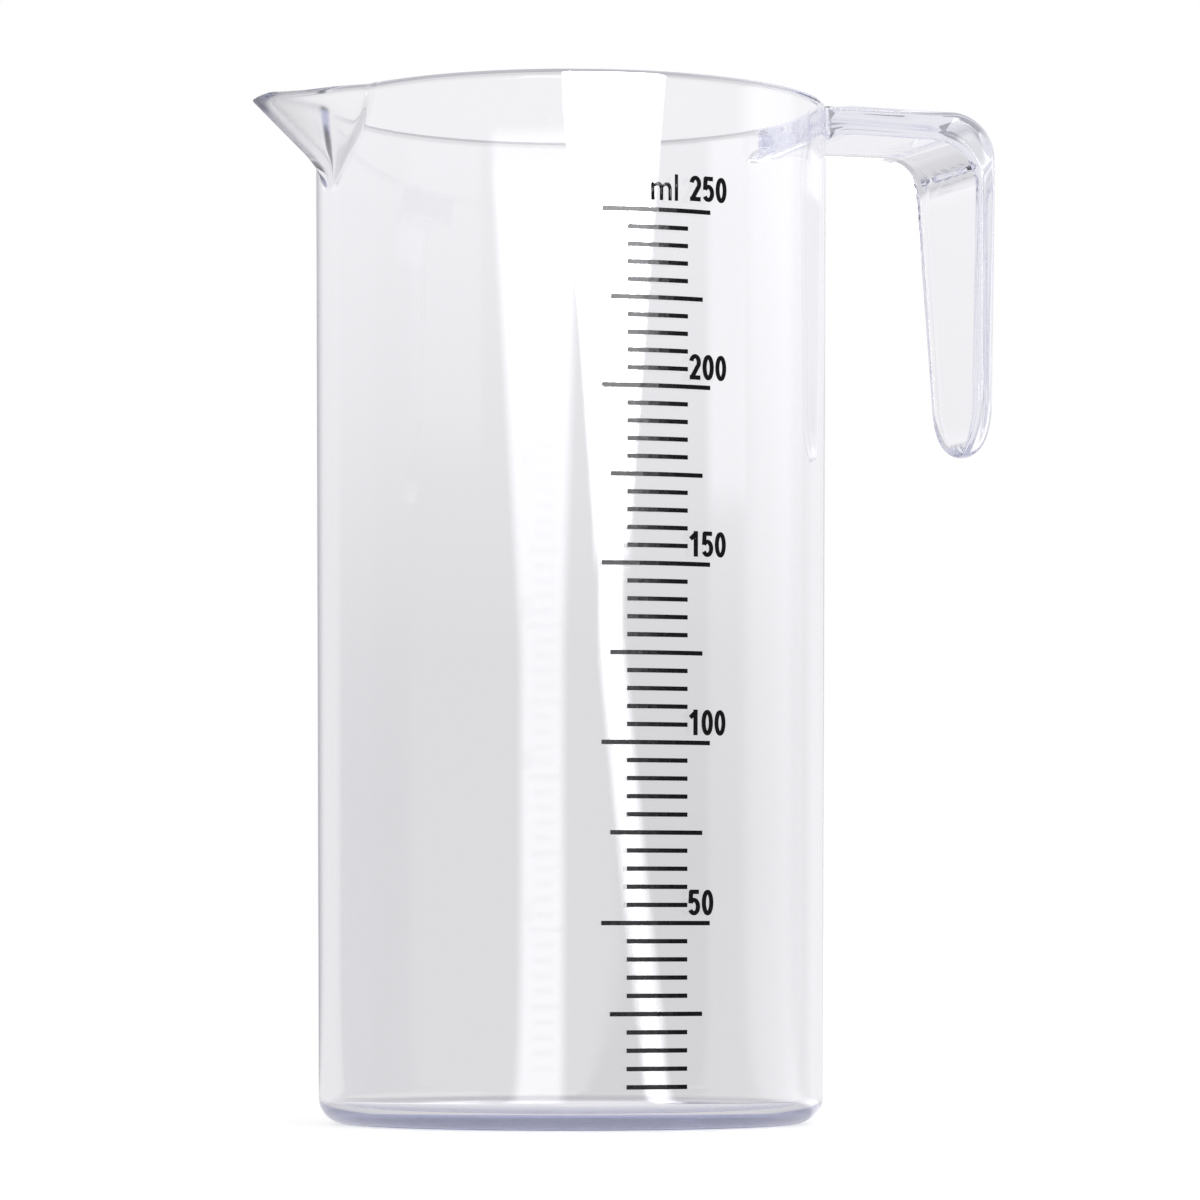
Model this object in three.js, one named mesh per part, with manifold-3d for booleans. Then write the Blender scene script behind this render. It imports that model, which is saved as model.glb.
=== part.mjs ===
// A clear moulded measuring cup: a tall straight cup with a pouring lip, an open strap handle and a
// printed scale. Millimetres, +Z up. The cup's axis is Z and its foot stands on Z = 0; the lip points
// to -X, the handle to +X, and the scale faces -Y.
import * as THREE from "three";
import { mergeVertices } from "three/addons/utils/BufferGeometryUtils.js";
import Module from "manifold-3d";

const wasm = await Module();
wasm.setup();

// Cup
const cupHeight = 119.1;
const rimRadius = 30; // outside of the wall, at the rim
const outerDraft = 0.33; // degrees that the outside narrows towards the foot
const innerDraft = 0.22; // degrees that the inside narrows towards the floor
const rimWall = 1.6;
const floorThickness = 2.8;
const footFillet = 3;
const floorFillet = 2;
const rimRound = 0.5; // rounding of the rim's edges

// Pouring lip
const lipReach = 9.2; // from the wall to the tip
const lipWidth = 16.8; // across the mouth, at the wall
const lipDepth = 8.8; // from the rim to the keel, at the wall
const lipDroop = 0.9; // of the tip, below the rim
const lipNose = 3; // length of the lip's edge that droops
const lipWall = 1.4; // across the keel
const lipFoot = 2.4; // how much further down the foot of the keel sweeps into the wall
const lipSweep = 1; // length of that sweep, out from the wall
const lipBlunt = 0.14; // length that the point of its cone is cut off by

// Strap handle
const fingerGap = 17.8; // from the wall to the inside of the grip, just under the arm
const rootWidth = 21.5; // across the arm, where it leaves the wall
const bendWidth = 19.5; // across the bend
const armThickness = 3.4;
const armRise = 0.45; // of the arm's top over the rim
const gripThickness = 2.5;
const bendOutside = 5.5; // radius of the bend, over the knuckles
const bendInside = 5.5; // radius of the bend, in the finger gap
const gripDrop = 40; // from the rim to the free end
const gripEndWidth = 14; // where the round end begins
const gripLean = 1.5; // degrees that the grip leans away from the cup
const strapEdge = 0.9; // rounding of the long edges
const endAngle = 84; // degrees round the free end, where it stops at a small flat
const endFall = 8; // power by which the free end thins: a high one keeps it thick to the last
const rootReach = 1.5; // length of the strap's root on the wall, all of it filleted

// Printed scale
const scaleMarks = 50;
const scaleStep = 5; // millilitres from mark to mark
const mediumEvery = 5; // marks from one medium bar to the next
const majorEvery = 10; // marks from one long bar to the next
const minorLength = 7.2;
const mediumLength = 11;
const majorLength = 13;
const barHeight = 0.5;
const scaleFreeboard = 8; // least height left free between the top mark and the rim
const inkThickness = 0.06;
const inkClearance = 0.02; // between the film of ink and the wall

// Fineness of the round shapes
const turnSegments = 96; // round the cup
const arcSegments = 3; // in half of a fillet of the cup's profile
const lipSegments = 48; // round the lip's section
const sweepSegments = 4; // along the sweep of the lip's foot
const cornerSegments = 4; // in a rounded edge of the strap
const bendSegments = 8; // along the strap's bend
const endSegments = 7; // along the strap's round end
const barSegments = 3; // along half of a bar
const rootSegments = 4; // along the fillet of the strap's root
const fillSlice = 0.02; // height of the slices that the cavity is measured in
const weldTolerance = 1e-4;
const mostRound = 0.45; // share of a wall's thickness that the rounding of an edge may take

const cubicPerMillilitre = 1000;
const radians = THREE.MathUtils.degToRad;

const clearPlastic = new THREE.MeshStandardMaterial({
  color: 0xe3e3ee,
  roughness: 0.06,
  metalness: 0,
  transparent: true,
  opacity: 0.35,
});
const blackInk = new THREE.MeshStandardMaterial({ color: 0x1b1b20, roughness: 0.55, metalness: 0 });

// Rounding of the rim's two edges, as far as its wall has room for it.
const rimEdge = Math.min(rimRound, mostRound * rimWall);

// Outside radius of the wall at a height.
function wallRadius(z) {
  return rimRadius - (cupHeight - z) * Math.tan(radians(outerDraft));
}

// Inside radius of the wall at a height, before the fillet at the floor.
function boreRadius(z) {
  return rimRadius - rimWall - (cupHeight - z) * Math.tan(radians(innerDraft));
}

// Inside radius of the cavity at a height, with the fillet at the floor.
function cavityRadius(z) {
  const belowFillet = Math.max(0, floorThickness + floorFillet - z);
  const drawnIn = floorFillet - Math.sqrt(floorFillet ** 2 - Math.min(belowFillet, floorFillet) ** 2);
  return boreRadius(z) - drawnIn;
}

// A closed geometry as a solid that can be joined and cut.
function solid(geometry) {
  const bare = new THREE.BufferGeometry();
  bare.setAttribute("position", geometry.getAttribute("position"));
  bare.setIndex(geometry.index);
  const merged = mergeVertices(bare, weldTolerance);
  const corners = merged.index.array;
  const kept = [];
  for (let i = 0; i < corners.length; i += 3) {
    const [a, b, c] = corners.slice(i, i + 3);
    if (a !== b && b !== c && c !== a) {
      kept.push(a, b, c);
    }
  }
  const vertProperties = merged.getAttribute("position").array;
  return new wasm.Manifold(new wasm.Mesh({ numProp: 3, vertProperties, triVerts: new Uint32Array(kept) }));
}

// The geometry of a finished solid.
function geometryOf(manifold) {
  const { vertProperties, triVerts } = manifold.getMesh();
  const geometry = new THREE.BufferGeometry();
  geometry.setAttribute("position", new THREE.BufferAttribute(vertProperties, 3));
  geometry.setIndex(new THREE.BufferAttribute(triVerts, 1));
  geometry.computeVertexNormals();
  return geometry;
}

// A profile of radius and height, turned about the cup's axis.
function turned(profile) {
  return new THREE.LatheGeometry(profile.getPoints(arcSegments), turnSegments).rotateX(Math.PI / 2);
}

// A closed skin over equal rings of points, with a flat cap on the first ring and on the last.
function lofted(rings) {
  const count = rings[0].length;
  const last = (rings.length - 1) * count;
  const index = [];
  for (let start = 0; start < last; start += count) {
    for (let i = 0; i < count; i++) {
      const next = (i + 1) % count;
      index.push(start + i, start + next, start + count + next);
      index.push(start + i, start + count + next, start + count + i);
    }
  }
  for (let i = 1; i + 1 < count; i++) {
    index.push(0, i + 1, i);
    index.push(last, last + i, last + i + 1);
  }
  const geometry = new THREE.BufferGeometry().setFromPoints(rings.flat());
  geometry.setIndex(index);
  geometry.computeVertexNormals();
  return geometry;
}

// The cup without its hollow: a round blank with a filleted foot and a rounded rim.
function cupBlank() {
  const profile = new THREE.Path();
  profile.moveTo(0, 0);
  profile.lineTo(wallRadius(0) - footFillet, 0);
  profile.absarc(wallRadius(0) - footFillet, footFillet, footFillet, -Math.PI / 2, 0);
  profile.absarc(rimRadius - rimEdge, cupHeight - rimEdge, rimEdge, 0, Math.PI / 2);
  profile.lineTo(0, cupHeight);
  return solid(turned(profile));
}

// The hollow of the cup, carried up past the rim.
function cupHollow() {
  const floorEdge = boreRadius(floorThickness) - floorFillet;
  const mouth = boreRadius(cupHeight) + rimEdge;
  const profile = new THREE.Path();
  profile.moveTo(0, floorThickness);
  profile.lineTo(floorEdge, floorThickness);
  profile.absarc(floorEdge, floorThickness + floorFillet, floorFillet, -Math.PI / 2, 0);
  profile.absarc(mouth, cupHeight - rimEdge, rimEdge, Math.PI, Math.PI / 2, true);
  profile.lineTo(mouth, cupHeight + rimWall);
  profile.lineTo(0, cupHeight + rimWall);
  return solid(turned(profile));
}

// The lip is the lower half of an elliptical cone that lies on its side in the plane of the rim. The
// point of the cone is a little beyond the tip, because the drooping edge of the nose trims it.
const lipPoint = lipReach / (1 - lipDroop / lipDepth);
const lipInside = rimWall + lipWall; // how far the cone runs inside the wall's outer face
const keelAngle = Math.atan2(lipDepth, lipPoint);
const lipShift = lipWall / Math.sin(keelAngle); // from the outer cone to the inner one, along the axis

// One section of the lip's cone, at a distance from its point, with its keel lowered.
function lipRing(pointX, distance, lowered) {
  const growth = distance / lipPoint;
  const ring = [];
  for (let i = 0; i < lipSegments; i++) {
    const angle = (2 * Math.PI * (i + 0.5)) / lipSegments;
    const across = (lipWidth / 2) * growth * Math.cos(angle);
    const height = (lipDepth * growth + lowered) * Math.sin(angle);
    ring.push(new THREE.Vector3(pointX + distance, across, cupHeight + height));
  }
  return ring;
}

// The cone of the lip with its point moved towards the cup, and with a foot that sweeps down into the
// face of the wall at a radius.
function lipCone(shift, faceRadius) {
  const pointX = shift - rimRadius - lipPoint;
  const toFace = -faceRadius - pointX;
  const sweep = Math.min(lipSweep, toFace / 2);
  const rings = [lipRing(pointX, lipBlunt, 0)];
  for (let i = 0; i <= sweepSegments; i++) {
    const part = i / sweepSegments;
    rings.push(lipRing(pointX, toFace - sweep * (1 - part), lipFoot * part ** 2));
  }
  rings.push(lipRing(pointX, lipPoint + lipInside - shift, lipFoot));
  return solid(lofted(rings));
}

// Everything above the rim and above the drooping edge of the lip's nose.
function spaceAboveLip() {
  const reach = 4 * rimRadius;
  const above = new THREE.BoxGeometry(reach, reach, reach);
  above.translate(0, 0, reach / 2);
  const sloped = above.clone().rotateY(-Math.atan2(lipDroop, lipNose));
  above.translate(-rimRadius, 0, cupHeight);
  sloped.translate(lipNose - lipReach - rimRadius, 0, cupHeight);
  return solid(above).add(solid(sloped));
}

// Section of the strap as a ring of points: across is along Y, out is the unit vector of its upper or
// outer face, and centre is its middle.
function strapRing(centre, out, width, thickness) {
  const round = Math.min(strapEdge, mostRound * width, mostRound * thickness);
  const ring = [];
  for (let corner = 0; corner < 4; corner++) {
    const sideways = corner === 0 || corner === 3 ? 1 : -1;
    const upward = corner < 2 ? 1 : -1;
    for (let i = 0; i <= cornerSegments; i++) {
      const angle = ((corner + i / cornerSegments) * Math.PI) / 2;
      const across = sideways * (width / 2 - round) + round * Math.cos(angle);
      const lift = upward * (thickness / 2 - round) + round * Math.sin(angle);
      ring.push(new THREE.Vector3(0, across, 0).addScaledVector(out, lift).add(centre));
    }
  }
  return ring;
}

// The strap leaves the wall here, square to the X axis.
const rootEnd = rimRadius + rootReach;
const armTop = cupHeight + armRise;
const armUnderside = armTop - armThickness;
const up = new THREE.Vector3(0, 0, 1);

// How much the strap's root has grown at a distance from the wall that its fillet meets.
function rootGrowth(distance) {
  const left = rootReach - THREE.MathUtils.clamp(distance, 0, rootReach);
  return rootReach - Math.sqrt(rootReach ** 2 - left ** 2);
}

// The root of the strap on the wall: it widens to both sides and downwards by a fillet, and its top
// rises from the rim. The wall curves away, so the sides meet it later than the underside.
function strapRoot() {
  const wallAtSides = Math.sqrt(rimRadius ** 2 - (rootWidth / 2) ** 2);
  const stations = [wallAtSides - rimWall / 2];
  for (const wall of [wallAtSides, rimRadius]) {
    for (let i = 0; i <= rootSegments; i++) {
      stations.push(wall + rootReach * (1 - Math.cos(((i / rootSegments) * Math.PI) / 2)));
    }
  }
  stations.sort((a, b) => a - b);
  const rings = stations.map((x) => {
    const top = cupHeight + (armRise * (x - stations[0])) / (rootEnd - stations[0]);
    const thickness = top - armUnderside + rootGrowth(x - rimRadius);
    const width = rootWidth + 2 * rootGrowth(x - wallAtSides);
    return strapRing(new THREE.Vector3(x, 0, top - thickness / 2), up, width, thickness);
  });
  return solid(lofted(rings));
}

// A ring of the strap between a point of its inner face and one of its outer face.
function strapRingBetween(inner, outer, width) {
  const centre = inner.clone().add(outer).multiplyScalar(0.5);
  const across = outer.clone().sub(inner);
  return strapRing(centre, across.clone().normalize(), width, across.length());
}

// The strap from its root to its free end: a level arm, a thick bend, and a tapered grip with a round
// end that leans a little away from the cup.
function strapHandle() {
  const lean = radians(gripLean);
  const turn = Math.PI / 2 - lean;
  const down = new THREE.Vector3(Math.sin(lean), 0, -Math.cos(lean));
  const outward = new THREE.Vector3(Math.cos(lean), 0, Math.sin(lean));
  const gapCorner = new THREE.Vector3(rimRadius + fingerGap, 0, armUnderside);

  // Centre of a bend that touches the level line at a height and the grip's inner face moved outward.
  const bendCentre = (height, offset, radius) => {
    const z = height - radius;
    const x = (gapCorner.dot(outward) + offset - radius - outward.z * z) / outward.x;
    return new THREE.Vector3(x, 0, z);
  };
  const innerCentre = bendCentre(armUnderside, 0, bendInside);
  const outerCentre = bendCentre(armTop, gripThickness, bendOutside);

  const armEnd = new THREE.Vector3(rootEnd, 0, armTop - armThickness / 2);
  const rings = [strapRing(armEnd, up, rootWidth, armThickness)];
  for (let i = 0; i <= bendSegments; i++) {
    const angle = (turn * i) / bendSegments;
    const out = new THREE.Vector3(Math.sin(angle), 0, Math.cos(angle));
    const inner = innerCentre.clone().addScaledVector(out, bendInside);
    const outer = outerCentre.clone().addScaledVector(out, bendOutside);
    rings.push(strapRingBetween(inner, outer, bendWidth));
  }

  // The round end is half a circle in outline, and its edges fall away only at the very end.
  const gripLength = (armUnderside - (cupHeight - gripDrop)) / Math.cos(lean);
  const gripMiddle = gapCorner.clone().addScaledVector(outward, gripThickness / 2);
  const lastAngle = radians(endAngle);
  for (let i = 0; i <= endSegments; i++) {
    const angle = (lastAngle * i) / endSegments;
    const along = gripLength - (gripEndWidth / 2) * (1 - Math.sin(angle) / Math.sin(lastAngle));
    const thinning = Math.sqrt(1 - Math.sin(angle) ** endFall);
    const centre = gripMiddle.clone().addScaledVector(down, along);
    rings.push(strapRing(centre, outward, gripEndWidth * Math.cos(angle), gripThickness * thinning));
  }
  return lofted(rings);
}

// Heights of the marks: the cavity is filled slice by slice, and each whole step gives a mark where it
// falls on the straight part of the wall.
function scaleHeights() {
  const marks = [];
  let volume = 0;
  let count = 0;
  for (let z = floorThickness; z < cupHeight - scaleFreeboard && count < scaleMarks; z += fillSlice) {
    const slice = Math.PI * cavityRadius(z + fillSlice / 2) ** 2 * fillSlice;
    const wanted = (count + 1) * scaleStep * cubicPerMillilitre;
    if (volume + slice >= wanted) {
      count += 1;
      const height = z + (fillSlice * (wanted - volume)) / slice;
      if (height - barHeight / 2 > footFillet) {
        marks.push({ count, height });
      }
    }
    volume += slice;
  }
  return marks;
}

// Length of a bar by its count from the floor.
function barLength(count) {
  if (count % majorEvery === 0) {
    return majorLength;
  }
  return count % mediumEvery === 0 ? mediumLength : minorLength;
}

// One printed bar: a thin curved film that follows the wall, centred on the -Y side.
function inkBar(length, height) {
  const halfAngle = length / (2 * wallRadius(height));
  const flatness = Math.cos(halfAngle / (2 * barSegments)); // the film's flats stay clear of the wall too
  const inner = (wallRadius(height + barHeight / 2) + inkClearance) / flatness;
  const outer = inner + inkThickness;
  const film = new THREE.Shape();
  film.absarc(0, 0, outer, -Math.PI / 2 - halfAngle, -Math.PI / 2 + halfAngle, false);
  film.absarc(0, 0, inner, -Math.PI / 2 + halfAngle, -Math.PI / 2 - halfAngle, true);
  return new THREE.ExtrudeGeometry(film, { depth: barHeight, bevelEnabled: false, curveSegments: barSegments });
}

function named(name, geometry, material) {
  const mesh = new THREE.Mesh(geometry, material);
  mesh.name = name;
  return mesh;
}

const lip = lipCone(0, rimRadius).subtract(spaceAboveLip());
const channel = lipCone(lipShift, rimRadius - rimWall);
const moulding = cupBlank().add(lip).add(strapRoot()).subtract(cupHollow().add(channel));

const cup = new THREE.Group();
cup.name = "measuring_cup";
cup.add(named("cup_body", geometryOf(moulding), clearPlastic));
cup.add(named("handle", strapHandle(), clearPlastic));

const printedScale = new THREE.Group();
printedScale.name = "printed_scale";
for (const { count, height } of scaleHeights()) {
  const label = String(count * scaleStep).padStart(3, "0");
  const bar = named("mark_" + label, inkBar(barLength(count), height), blackInk);
  bar.position.z = height - barHeight / 2;
  printedScale.add(bar);
}
cup.add(printedScale);

export default cup;
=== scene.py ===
"""Looks of a clear measuring cup: its moulding, its printed scale, a white studio and the camera."""

import logging
import math
from collections.abc import Iterator
from dataclasses import dataclass, field
from enum import Enum
from typing import Any

import bmesh
import bpy
from mathutils import Matrix, Vector


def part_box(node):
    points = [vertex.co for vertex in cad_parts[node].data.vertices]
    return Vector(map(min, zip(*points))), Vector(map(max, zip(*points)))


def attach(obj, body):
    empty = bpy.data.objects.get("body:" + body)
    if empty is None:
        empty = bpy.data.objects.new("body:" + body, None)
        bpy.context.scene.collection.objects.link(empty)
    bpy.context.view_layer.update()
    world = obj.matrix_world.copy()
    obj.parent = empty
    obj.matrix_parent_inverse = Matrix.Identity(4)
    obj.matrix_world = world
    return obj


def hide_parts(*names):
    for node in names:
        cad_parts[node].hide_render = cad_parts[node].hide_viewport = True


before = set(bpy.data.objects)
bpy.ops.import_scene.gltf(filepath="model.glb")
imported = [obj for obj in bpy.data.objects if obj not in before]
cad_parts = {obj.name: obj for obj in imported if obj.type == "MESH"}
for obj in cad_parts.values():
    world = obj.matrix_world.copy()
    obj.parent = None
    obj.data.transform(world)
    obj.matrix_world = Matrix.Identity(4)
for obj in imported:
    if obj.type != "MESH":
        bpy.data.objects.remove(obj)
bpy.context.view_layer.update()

log = logging.getLogger("measuring_cup")

Colour = tuple[float, float, float, float]
Pair = tuple[float, float]
Output = bpy.types.NodeSocket

MM = 0.001  # metres in a millimetre
MIX_COLOURS = (6, 7)  # places of the two colours among a mix node's inputs
MIX_RESULT = 2  # place of the mixed colour among its outputs
EDGE_LIMIT = 0.48  # largest radius of an edge, as a share of the side that it rounds


class Slot(Enum):
    """The record's material slots."""

    CLEAR_PLASTIC = "clear_plastic"
    INK = "ink"


class Socket(Enum):
    """Kinds of sockets of the shared node groups."""

    VALUE = "NodeSocketFloat"
    VECTOR = "NodeSocketVector"


class Graph:
    """A node tree that is put together node by node."""

    def __init__(self, tree: bpy.types.NodeTree) -> None:
        """Starts on a node tree.

        Args:
            tree: the tree that the nodes go in.
        """
        self.tree = tree

    def feed(self, socket: bpy.types.NodeSocket, value: Any) -> None:
        """Sets an input or links it.

        Args:
            socket: the input.
            value: what it is set to, or the output that feeds it.
        """
        if isinstance(value, Output):
            self.tree.links.new(value, socket)
        else:
            socket.default_value = value

    def node(self, kind: str, inputs: dict[str, Any] | None = None, **settings: Any) -> bpy.types.Node:
        """Adds a node.

        Args:
            kind: the node's type.
            inputs: a value or an output for each input that is named.
            settings: the node's own properties.

        Returns:
            The new node.
        """
        made = self.tree.nodes.new(kind)
        for name, value in settings.items():
            setattr(made, name, value)
        for name, value in (inputs or {}).items():
            self.feed(made.inputs[name], value)
        return made

    def maths(self, operation: str, *values: Any) -> Output:
        """Adds a maths node.

        Args:
            operation: what it does.
            values: numbers or outputs, in the order of its inputs.

        Returns:
            Its output.
        """
        made = self.tree.nodes.new("ShaderNodeMath")
        made.operation = operation
        for socket, value in zip(made.inputs, values):
            self.feed(socket, value)
        return made.outputs[0]

    def step(self, value: Any, low: Any, high: Any, start: float = 0.0, end: float = 1.0) -> Output:
        """Adds a smooth step.

        Args:
            value: the number or output that is looked at.
            low: where the step starts.
            high: where it ends.
            start: the result below low.
            end: the result above high.

        Returns:
            The step's output.
        """
        inputs = {"Value": value, "From Min": low, "From Max": high, "To Min": start, "To Max": end}
        return self.node("ShaderNodeMapRange", inputs, interpolation_type="SMOOTHSTEP").outputs["Result"]

    def mix(self, share: Any, first: Any, second: Any) -> Output:
        """Adds a mix of two colours.

        Args:
            share: the share of the second colour.
            first: the first colour.
            second: the second colour.

        Returns:
            The mixed colour.
        """
        made = self.node("ShaderNodeMix", {"Factor": share}, data_type="RGBA")
        for place, colour in zip(MIX_COLOURS, (first, second)):
            self.feed(made.inputs[place], colour)
        return made.outputs[MIX_RESULT]

    def noise(self, place: Any, scale: Any, detail: float) -> Output:
        """Adds a noise.

        Args:
            place: where it is looked at.
            scale: its waves in a metre.
            detail: how many finer waves are added.

        Returns:
            Its value.
        """
        inputs = {"Vector": place, "Scale": scale, "Detail": detail}
        return self.node("ShaderNodeTexNoise", inputs).outputs[0]


def blank(owner: bpy.types.Material | bpy.types.World) -> Graph:
    """Gives a material or a world an empty node tree.

    Args:
        owner: what the nodes are for.

    Returns:
        The tree, ready for nodes.
    """
    owner.use_nodes = True
    owner.node_tree.nodes.clear()
    return Graph(owner.node_tree)


def finished(name: str, bm: bmesh.types.BMesh, material: bpy.types.Material) -> bpy.types.Object:
    """Makes an object of a mesh and puts it in the scene.

    Args:
        name: the object's name.
        bm: the mesh, which is used up.
        material: its finish.

    Returns:
        The object, at the origin.
    """
    mesh = bpy.data.meshes.new(name)
    bm.to_mesh(mesh)
    bm.free()
    mesh.materials.append(material)
    made = bpy.data.objects.new(name, mesh)
    bpy.context.scene.collection.objects.link(made)
    return made


class SharedGroup:
    """A shader node group with named inputs and one output."""

    def __init__(self, name: str, inputs: dict[str, Socket], output: str) -> None:
        """Makes the empty group.

        Args:
            name: the group's name.
            inputs: the kind of each input.
            output: the name of its output, which is a value.
        """
        self.tree = bpy.data.node_groups.new(name, "ShaderNodeTree")
        for title, kind in inputs.items():
            self.tree.interface.new_socket(title, in_out="INPUT", socket_type=kind.value)
        self.tree.interface.new_socket(output, in_out="OUTPUT", socket_type=Socket.VALUE.value)
        self.graph = Graph(self.tree)
        self.inputs = self.graph.node("NodeGroupInput").outputs
        self.output = self.graph.node("NodeGroupOutput").inputs[output]

    def finish(self, value: Output) -> None:
        """Joins the result to the group's output.

        Args:
            value: the output that holds the result.
        """
        self.graph.feed(self.output, value)

    def use(self, graph: Graph, inputs: dict[str, Any]) -> Output:
        """Puts the group in another node tree.

        Args:
            graph: the tree that uses it.
            inputs: values or outputs for its inputs.

        Returns:
            The group's output there.
        """
        made = graph.node("ShaderNodeGroup", node_tree=self.tree)
        for name, value in inputs.items():
            graph.feed(made.inputs[name], value)
        return made.outputs[0]


@dataclass
class SurfaceEffects:
    """The node groups that the finishes share. Scales are waves in a metre."""

    ripple: SharedGroup = field(init=False)
    wear: SharedGroup = field(init=False)
    speckle: SharedGroup = field(init=False)
    upright_stretch: tuple[float, float, float] = (1.0, 1.0, 0.3)
    broad_scale: float = 60.0
    fine_scale: float = 420.0
    fine_detail: float = 1.0
    scuff_detail: float = 2.0
    scuff_range: Pair = (0.5, 0.72)
    wear_overall: float = 0.3
    wear_at_foot: float = 0.7
    cover_detail: float = 4.0
    cover_range: Pair = (0.3, 0.62)

    def __post_init__(self) -> None:
        """Makes each group once."""
        self.ripple = self.make_ripple()
        self.wear = self.make_wear()
        self.speckle = self.make_speckle()

    def make_ripple(self) -> SharedGroup:
        """Makes the slow unevenness that a mould and cooling leave in a clear wall.

        Returns:
            A group that gives a height.
        """
        inputs = {"Position": Socket.VECTOR, "Detail": Socket.VALUE}
        group = SharedGroup("moulding_ripple", inputs, "Height")
        graph = group.graph
        stretch = graph.node("ShaderNodeVectorMath", operation="MULTIPLY")
        graph.feed(stretch.inputs[0], group.inputs["Position"])
        graph.feed(stretch.inputs[1], self.upright_stretch)
        broad = graph.noise(stretch.outputs[0], self.broad_scale, 0.0)
        fine = graph.noise(stretch.outputs[0], self.fine_scale, self.fine_detail)
        small = graph.maths("MULTIPLY", fine, group.inputs["Detail"])
        group.finish(graph.maths("ADD", broad, small))
        return group

    def make_wear(self) -> SharedGroup:
        """Makes the rubbing of a surface that stands on tables and is wiped.

        Returns:
            A group that gives a share of wear from 0 to 1.
        """
        inputs = {"Position": Socket.VECTOR, "Foot Height": Socket.VALUE, "Scuff Scale": Socket.VALUE}
        group = SharedGroup("handling_wear", inputs, "Wear")
        graph = group.graph
        height = graph.node("ShaderNodeSeparateXYZ", {"Vector": group.inputs["Position"]}).outputs["Z"]
        near_foot = graph.step(height, 0.0, group.inputs["Foot Height"], 1.0, 0.0)
        scuffs = graph.noise(group.inputs["Position"], group.inputs["Scuff Scale"], self.scuff_detail)
        marks = graph.step(scuffs, *self.scuff_range)
        spread = graph.maths("MULTIPLY_ADD", near_foot, self.wear_at_foot, self.wear_overall)
        group.finish(graph.maths("MULTIPLY", marks, spread))
        return group

    def make_speckle(self) -> SharedGroup:
        """Makes the uneven cover of a thin printed film.

        Returns:
            A group that gives the cover from 0 to 1.
        """
        group = SharedGroup("print_speckle", {"Position": Socket.VECTOR, "Grain": Socket.VALUE}, "Cover")
        graph = group.graph
        cloud = graph.noise(group.inputs["Position"], group.inputs["Grain"], self.cover_detail)
        group.finish(graph.step(cloud, *self.cover_range))
        return group


@dataclass(frozen=True)
class ClearPlastic:
    """Glossy clear polystyrene, violet-blue where the light passes through much of it. Its underside carries
    a painted violet shade in its colour, standing in for the darker violet that the thick foot shows.
    """

    effects: SurfaceEffects
    refraction: float = 1.57
    gloss: float = 0.008
    worn: float = 0.09
    tint: Colour = (0.27, 0.31, 0.64, 1.0)
    tint_density: float = 7.0
    ground: float = 0.5
    nose: Pair = (-37 * MM, -26.5 * MM)
    lip_foot: Pair = (107 * MM, 111 * MM)
    nose_haze: float = 0.22
    clear: Colour = (1.0, 1.0, 1.0, 1.0)
    # painted shade: a violet colour on the underside that stands in for the darker violet of light passing
    # along the thick foot
    ground_shade: Colour = (0.5, 0.54, 1.0, 1.0)
    underside: Pair = (0.05 * MM, 0.25 * MM)
    scuffed_height: float = 4 * MM
    scuff_scale: float = 900.0
    fine_ripple: float = 0.04
    ripple_depth: float = 0.02 * MM
    ripple_strength: float = 0.35

    def material(self) -> bpy.types.Material:
        """Makes the material.

        Returns:
            The clear material with its own nodes.
        """
        made = bpy.data.materials.new("clear_plastic")
        graph = blank(made)
        place = graph.node("ShaderNodeTexCoord").outputs["Object"]
        rubbed = {"Position": place, "Foot Height": self.scuffed_height, "Scuff Scale": self.scuff_scale}
        wear = self.effects.wear.use(graph, rubbed)
        parts = graph.node("ShaderNodeSeparateXYZ", {"Vector": place}).outputs
        underside = graph.step(parts["Z"], *self.underside, 1.0, 0.0)
        ahead = graph.step(parts["X"], *self.nose, self.nose_haze, 0.0)
        nose = graph.maths("MULTIPLY", ahead, graph.step(parts["Z"], *self.lip_foot))
        polished = graph.maths("MULTIPLY_ADD", wear, self.worn, self.gloss)
        hazy = graph.maths("MAXIMUM", polished, nose)
        roughness = graph.maths("MAXIMUM", hazy, graph.maths("MULTIPLY", underside, self.ground))
        # the underside's colour is a painted violet shade, not a colour of the plastic
        colour = graph.mix(underside, self.clear, self.ground_shade)
        height = self.effects.ripple.use(graph, {"Position": place, "Detail": self.fine_ripple})
        bump = graph.node(
            "ShaderNodeBump",
            {"Strength": self.ripple_strength, "Distance": self.ripple_depth, "Height": height},
        )
        surface = graph.node(
            "ShaderNodeBsdfPrincipled",
            {
                "Base Color": colour,
                "Roughness": roughness,
                "IOR": self.refraction,
                "Transmission Weight": 1.0,
                "Normal": bump.outputs["Normal"],
            },
        )
        depth = graph.node("ShaderNodeVolumeAbsorption", {"Color": self.tint, "Density": self.tint_density})
        graph.node("ShaderNodeOutputMaterial", {"Surface": surface.outputs[0], "Volume": depth.outputs[0]})
        return made


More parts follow.
